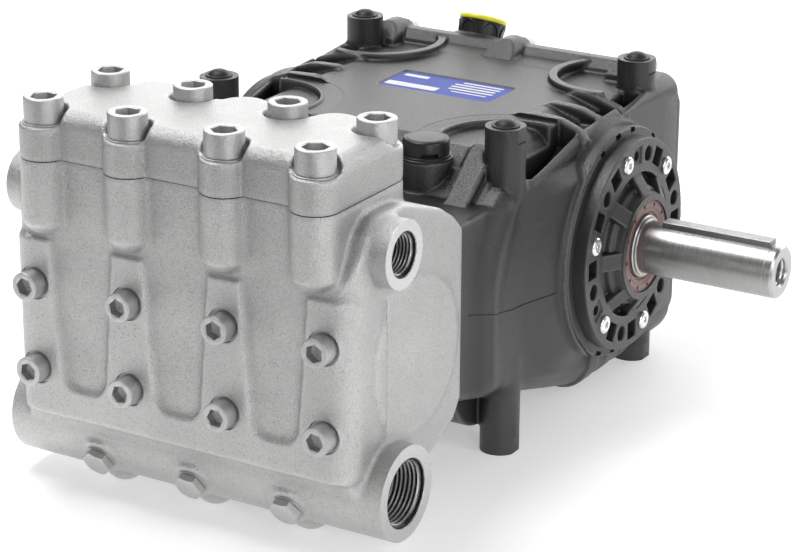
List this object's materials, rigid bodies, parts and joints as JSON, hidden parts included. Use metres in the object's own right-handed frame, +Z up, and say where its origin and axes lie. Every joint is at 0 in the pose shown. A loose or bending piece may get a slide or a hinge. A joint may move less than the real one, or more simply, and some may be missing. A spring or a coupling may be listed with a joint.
{
  "type": "plunger pump",
  "caption": "Horizontal plunger pump: cast pump head with bolted valve cover, dark crankcase with ribs and posts, keyed drive shaft.",
  "frame": {"origin": "centre of the four feet, on the floor", "axes": "+X along the crankshaft towards the drive end, -Y towards the pump head, +Z up"},
  "size_m": [0.3969, 0.4757, 0.2548],
  "materials": {
    "cast_head": "bare casting, satin, fine grain",
    "coated_casting": "satin black-grey coat over a fine cast grain",
    "screw_steel": "zinc-plated, turned marks",
    "shaft_steel": "ground steel",
    "seal_rubber": "matt brown rubber",
    "black_plastic": "satin",
    "yellow_plastic": "satin to gloss",
    "blue_plate": "satin printed plate, blank fields",
    "sight_glass": "clear with oil behind it"
  },
  "bodies": {
    "housing": {"pump_head": "cast_head", "valve_cover": "cast_head", "cover_screws_front": "screw_steel", "cover_screws_rear": "screw_steel", "head_screws_upper": "screw_steel", "head_screws_lower": "screw_steel", "drain_plugs": "screw_steel", "crankcase": "coated_casting", "rear_cover": "coated_casting", "rear_cover_screws": "screw_steel", "drive_flange": "coated_casting", "blind_flange": "coated_casting", "drive_flange_screws": "screw_steel", "blind_flange_screws": "screw_steel", "shaft_seal": "seal_rubber", "breather_cap": "black_plastic", "breather_ring": "black_plastic", "filler_cap_body": "black_plastic", "filler_cap_top": "yellow_plastic", "data_plate": "blue_plate", "sight_glass_frame": "screw_steel", "sight_glass": "sight_glass", "oil_drain_plug": "screw_steel", "post_plug_left_front": "black_plastic", "post_plug_left_rear": "black_plastic", "post_plug_right_front": "black_plastic", "post_plug_right_rear": "black_plastic"},
    "shaft": {"crankshaft": "shaft_steel", "shaft_key": "shaft_steel", "wear_ring": "shaft_steel"}
  },
  "joints": [
    {"name": "crankshaft_spin", "type": "hinge", "parent": "housing", "child": "shaft", "pos_m": [0, 0.0205, 0.1115], "axis": [1, 0, 0], "continuous": true}
  ]
}
